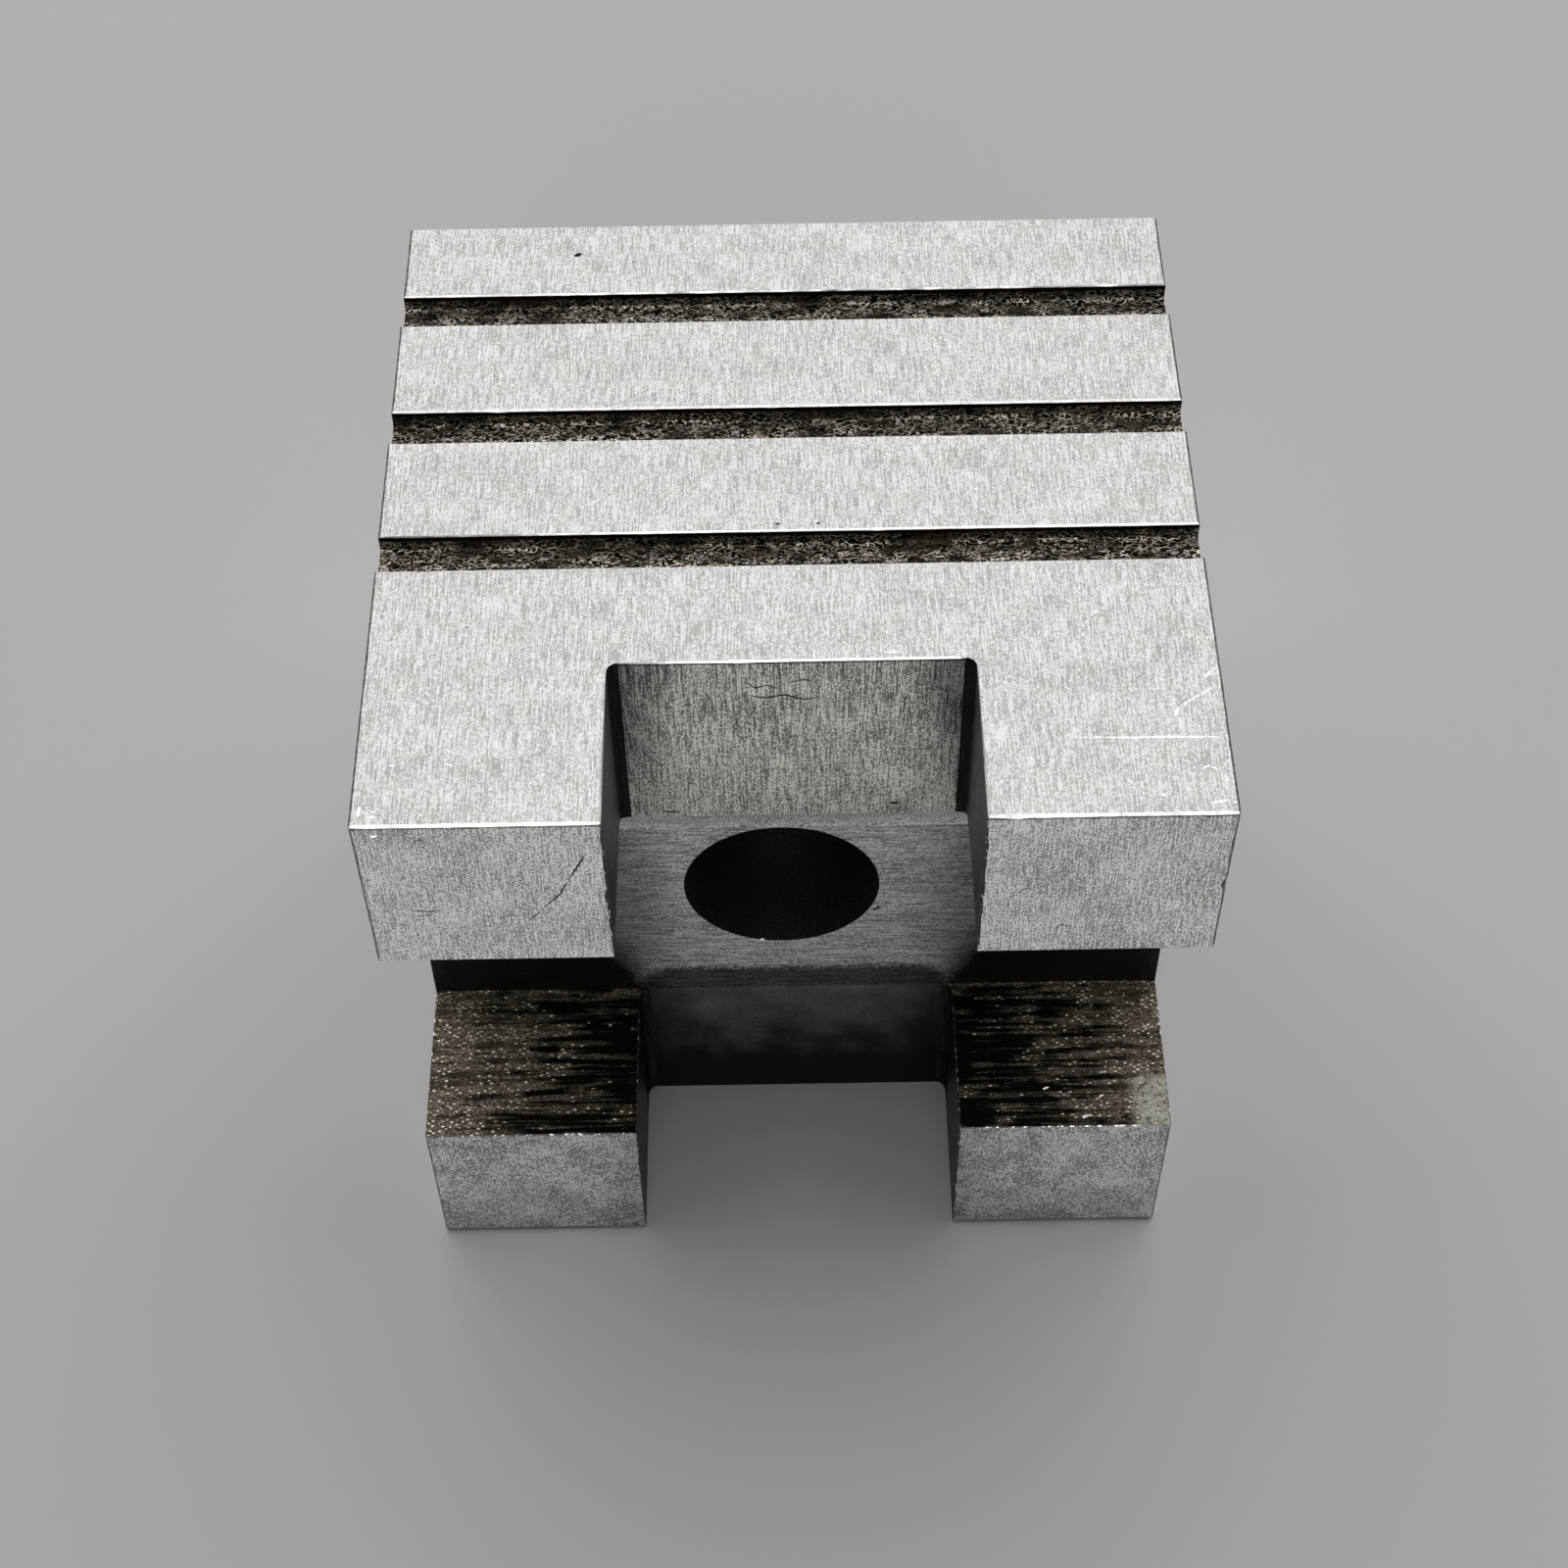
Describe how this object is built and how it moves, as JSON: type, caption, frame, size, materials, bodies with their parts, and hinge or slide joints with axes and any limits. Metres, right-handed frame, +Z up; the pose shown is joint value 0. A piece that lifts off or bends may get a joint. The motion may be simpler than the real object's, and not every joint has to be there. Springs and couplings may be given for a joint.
{
  "type": "bench block",
  "caption": "Steel cube block for clamping: an upright slot and a level channel cross on its front, a bore runs through from the crossing, and shallow grooves cross its top.",
  "frame": {"origin": "middle of the base, on the surface that the block stands on", "axes": "+Z up, -Y out of the slotted front, +X to the right as seen from the front"},
  "size_m": [0.06, 0.06, 0.06],
  "materials": {
    "steel": "ground lands with a fine straight grain, dark rough channel and groove floors"
  },
  "bodies": {
    "root": {"block": "steel"}
  },
  "joints": []
}
